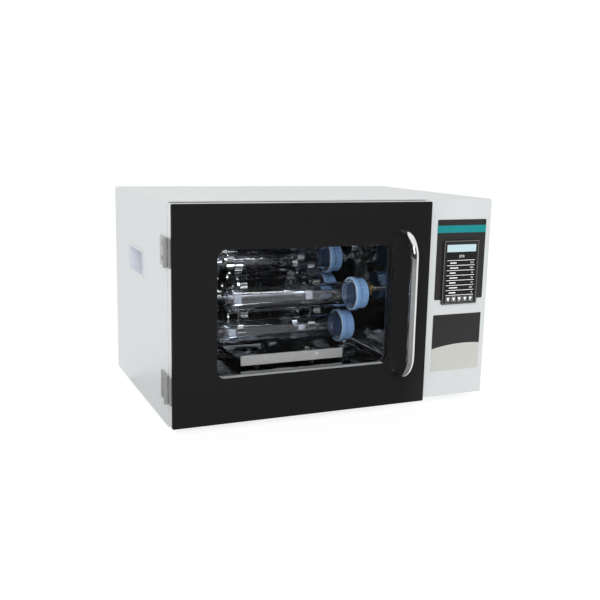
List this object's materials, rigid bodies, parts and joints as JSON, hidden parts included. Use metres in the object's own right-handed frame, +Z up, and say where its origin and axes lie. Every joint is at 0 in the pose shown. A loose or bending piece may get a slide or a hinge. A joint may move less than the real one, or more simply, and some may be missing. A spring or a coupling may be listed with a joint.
{
  "type": "hybridization oven",
  "caption": "Bench hybridization oven with a windowed hinged door, a turning bottle rotor, a shaker tray, a circulation fan and a touch-screen control section.",
  "frame": {"origin": "below the middle of the whole oven, on the plane its feet stand on", "axes": "+X to the oven's right seen from the front, the door faces -Y, +Z up"},
  "size_m": [0.557, 0.4315, 0.34],
  "materials": {
    "white_enamel": "powder-coated, satin",
    "galvanized": "plain sheet",
    "stainless": "brushed",
    "mirror_steel": "mirror-polished",
    "chrome": "polished",
    "black_glass": "printed glass, glossy",
    "clear_glass": "clear",
    "bottle_glass": "clear borosilicate",
    "cap_blue": "satin polypropylene",
    "overlay_dark": "printed film",
    "overlay_grey": "printed film",
    "teal": "printed film",
    "screen": "display glass",
    "black_plastic": "moulded",
    "handle_plastic": "moulded, pale lilac grey",
    "rubber": "moulded",
    "silicone": "silicone, grey",
    "wool": "mineral wool",
    "motor_black": "painted",
    "board_green": "circuit board",
    "brass": "sintered bronze",
    "steel_shaft": "ground",
    "magnet": "ferrite"
  },
  "bodies": {
    "cabinet": {"outer_shell": "white_enamel", "control_fascia": "white_enamel", "base_pan": "galvanized", "rear_panel": "white_enamel", "bay_partition": "galvanized", "feet": "rubber", "front_frame": "stainless", "catch_magnets": "magnet", "door_gasket": "silicone", "chamber_liner": "mirror_steel", "insulation": "wool", "duct_cover": "mirror_steel", "heater_ring": "stainless", "temperature_probe": "stainless", "fan_motor": "motor_black", "rotor_bearings": "brass", "rotor_gearmotor": "motor_black", "gearmotor_standoffs": "steel_shaft", "guide_rods": "steel_shaft", "rod_blocks": "black_plastic", "shaker_motor": "motor_black", "upper_overlay": "overlay_dark", "accent_stripe": "teal", "lower_overlay": "overlay_dark", "lower_panel": "overlay_grey", "screen_bezel": "black_plastic", "touch_screen": "screen", "control_board": "board_green", "power_supply": "galvanized", "rear_screws": "steel_shaft", "power_inlet": "black_plastic", "switch_frame": "black_plastic", "carry_handles": "handle_plastic", "hinge_cabinet_leaves": "stainless", "hinge_screws": "steel_shaft"},
    "door": {"door_frame": "white_enamel", "door_liner": "stainless", "inner_pane": "clear_glass", "door_glass_border": "black_glass", "window_pane": "clear_glass", "door_handle": "chrome", "handle_screws": "steel_shaft", "hinge_door_leaves": "stainless"},
    "rotor": {"rotor_axle": "steel_shaft", "rotor_wheels": "mirror_steel", "bottle_clips": "mirror_steel", "empty_clips": "mirror_steel", "bottles": "bottle_glass", "shaft_coupling": "steel_shaft"},
    "cap_a": {"cap_1": "cap_blue"},
    "cap_b": {"cap_2": "cap_blue"},
    "cap_c": {"cap_3": "cap_blue"},
    "cap_d": {"cap_4": "cap_blue"},
    "tray": {"shaker_tray": "mirror_steel", "tray_front_bar": "stainless", "tray_bar_screws": "chrome", "shaker_carriage": "galvanized"},
    "crank": {"shaker_crank": "steel_shaft"},
    "fan": {"fan_impeller": "stainless"},
    "power_rocker": {"rocker": "black_plastic"}
  },
  "joints": [
    {"name": "door_hinge", "type": "hinge", "parent": "cabinet", "child": "door", "pos_m": [-0.2741, -0.1525, 0.175], "axis": [0, 0, -1], "range_deg": [0, 180]},
    {"name": "rotor_spin", "type": "hinge", "parent": "cabinet", "child": "rotor", "pos_m": [-0.0601, -0.024, 0.176], "axis": [1, 0, 0], "continuous": true},
    {"name": "cap_a_unscrew", "type": "hinge", "parent": "rotor", "child": "cap_a", "pos_m": [0.0729, -0.08776, 0.18158], "axis": [1, 0, 0], "range_deg": [0, 360]},
    {"name": "cap_b_unscrew", "type": "hinge", "parent": "rotor", "child": "cap_b", "pos_m": [0.0729, -0.06071, 0.12357], "axis": [1, 0, 0], "range_deg": [0, 360]},
    {"name": "cap_c_unscrew", "type": "hinge", "parent": "rotor", "child": "cap_c", "pos_m": [0.0729, 0.03976, 0.17042], "axis": [1, 0, 0], "range_deg": [0, 360]},
    {"name": "cap_d_unscrew", "type": "hinge", "parent": "rotor", "child": "cap_d", "pos_m": [0.0729, 0.01271, 0.22843], "axis": [1, 0, 0], "range_deg": [0, 360]},
    {"name": "tray_shake", "type": "slide", "parent": "cabinet", "child": "tray", "axis": [1, 0, 0], "range_m": [-0.008, 0.008]},
    {"name": "crank_turn", "type": "hinge", "parent": "cabinet", "child": "crank", "pos_m": [-0.0531, -0.0135, 0.035], "axis": [0, 0, 1], "continuous": true},
    {"name": "fan_spin", "type": "hinge", "parent": "cabinet", "child": "fan", "pos_m": [-0.0601, 0.1315, 0.182], "axis": [0, 1, 0], "continuous": true},
    {"name": "rocker_tilt", "type": "hinge", "parent": "cabinet", "child": "power_rocker", "pos_m": [0.1849, 0.2105, 0.072], "axis": [1, 0, 0], "range_deg": [-20, 0]}
  ]
}
